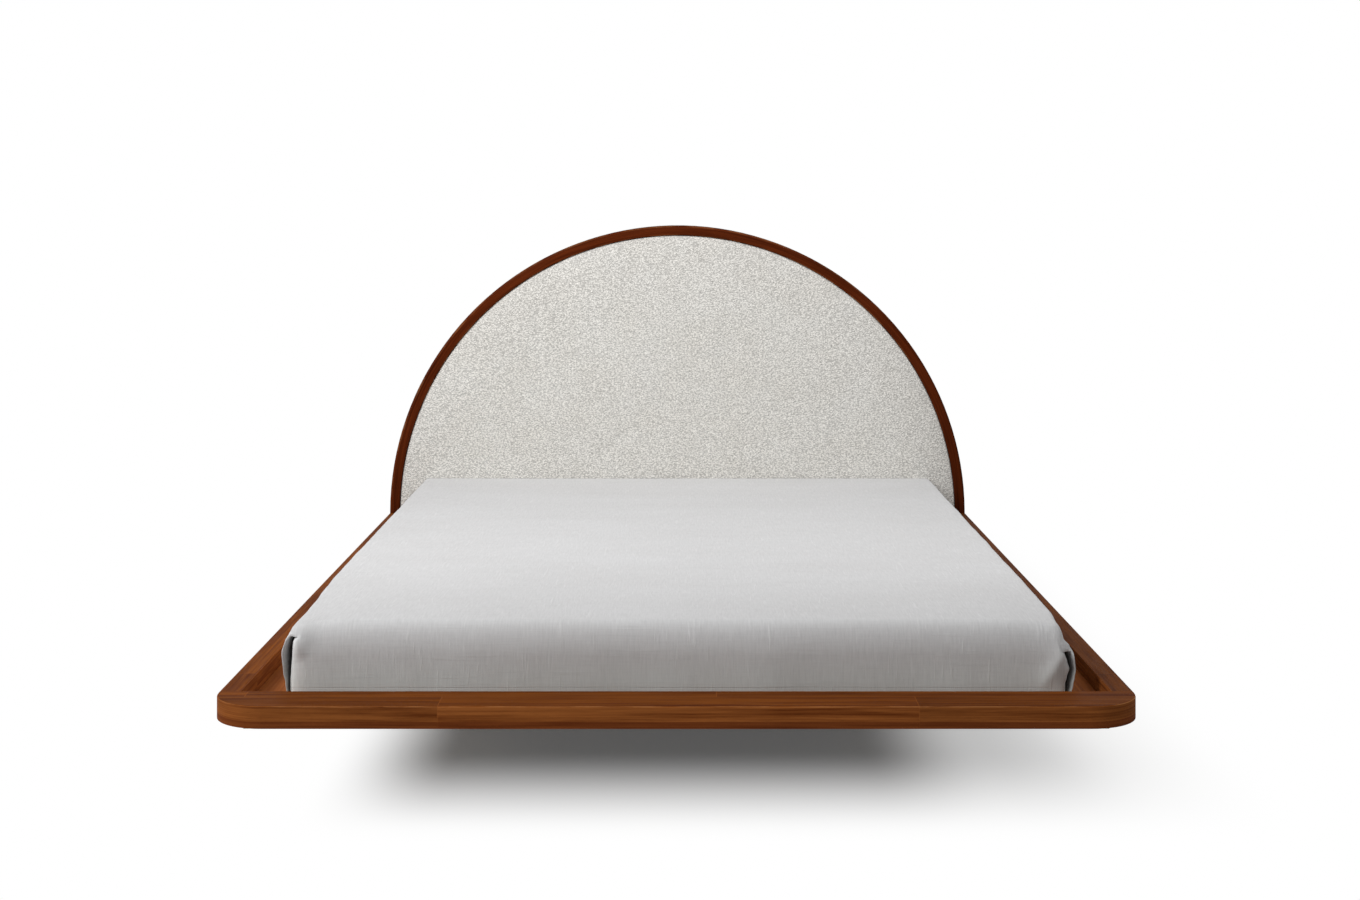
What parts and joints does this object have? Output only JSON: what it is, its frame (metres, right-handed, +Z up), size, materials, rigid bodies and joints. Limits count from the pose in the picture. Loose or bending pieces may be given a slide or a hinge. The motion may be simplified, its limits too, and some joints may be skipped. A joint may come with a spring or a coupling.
{
  "type": "floating bed",
  "caption": "Low platform bed that seems to float over a set-back plinth, with a wide wooden rim, a recessed mattress under a cloth cover and a half-round padded headboard.",
  "frame": {"origin": "on the floor under the middle of the bed's overall box", "axes": "+Z up, +Y towards the headboard, -Y towards the foot, X across the bed"},
  "size_m": [1.76, 2.298, 1.1299],
  "materials": {
    "oiled_walnut": "oiled, satin, laminated staves along each rail",
    "rim_walnut": "oiled, satin, bent laminate with the grain round the arch",
    "walnut_veneer": "oiled veneer with upright grain",
    "birch_ply": "bare plywood",
    "birch_slats": "planed, bare",
    "beech_pegs": "bare",
    "dark_stained_wood": "dark stain, matt",
    "boucle": "looped wool, off-white",
    "linen": "washed linen, pale grey",
    "mattress_ticking": "knitted ticking, white",
    "zinc_steel": "zinc plated",
    "glide_nylon": "moulded, matt"
  },
  "bodies": {
    "root": {"bed_cover": "linen", "centre_bearer": "dark_stained_wood", "cross_joist_1": "dark_stained_wood", "cross_joist_2": "dark_stained_wood", "cross_joist_3": "dark_stained_wood", "cross_joist_4": "dark_stained_wood", "front_border_board": "oiled_walnut", "front_ledger": "dark_stained_wood", "front_left_corner_block": "dark_stained_wood", "front_rail": "oiled_walnut", "front_right_corner_block": "dark_stained_wood", "headboard_back_panel": "walnut_veneer", "headboard_bolts": "zinc_steel", "headboard_bottom_rail": "dark_stained_wood", "headboard_core": "birch_ply", "headboard_nuts": "zinc_steel", "headboard_pad": "boucle", "headboard_rim": "rim_walnut", "headboard_top_brace": "dark_stained_wood", "ledger_pegs": "beech_pegs", "left_border_board": "oiled_walnut", "left_headboard_post": "dark_stained_wood", "left_inner_bearer": "dark_stained_wood", "left_ledger": "dark_stained_wood", "left_outer_bearer": "dark_stained_wood", "left_side_rail": "oiled_walnut", "mattress": "mattress_ticking", "plinth_cross_member": "dark_stained_wood", "plinth_front": "dark_stained_wood", "plinth_glides": "glide_nylon", "plinth_left": "dark_stained_wood", "plinth_rear": "dark_stained_wood", "plinth_right": "dark_stained_wood", "plinth_tenons": "beech_pegs", "rail_tenons": "beech_pegs", "rear_ledger": "dark_stained_wood", "rear_left_corner_block": "dark_stained_wood", "rear_rail": "oiled_walnut", "rear_right_corner_block": "dark_stained_wood", "right_border_board": "oiled_walnut", "right_headboard_post": "dark_stained_wood", "right_inner_bearer": "dark_stained_wood", "right_ledger": "dark_stained_wood", "right_outer_bearer": "dark_stained_wood", "right_side_rail": "oiled_walnut", "slat_01": "birch_slats", "slat_02": "birch_slats", "slat_03": "birch_slats", "slat_04": "birch_slats", "slat_05": "birch_slats", "slat_06": "birch_slats", "slat_07": "birch_slats", "slat_08": "birch_slats", "slat_09": "birch_slats", "slat_10": "birch_slats", "slat_11": "birch_slats", "slat_12": "birch_slats", "slat_13": "birch_slats", "slat_pegs": "beech_pegs"}
  },
  "joints": []
}
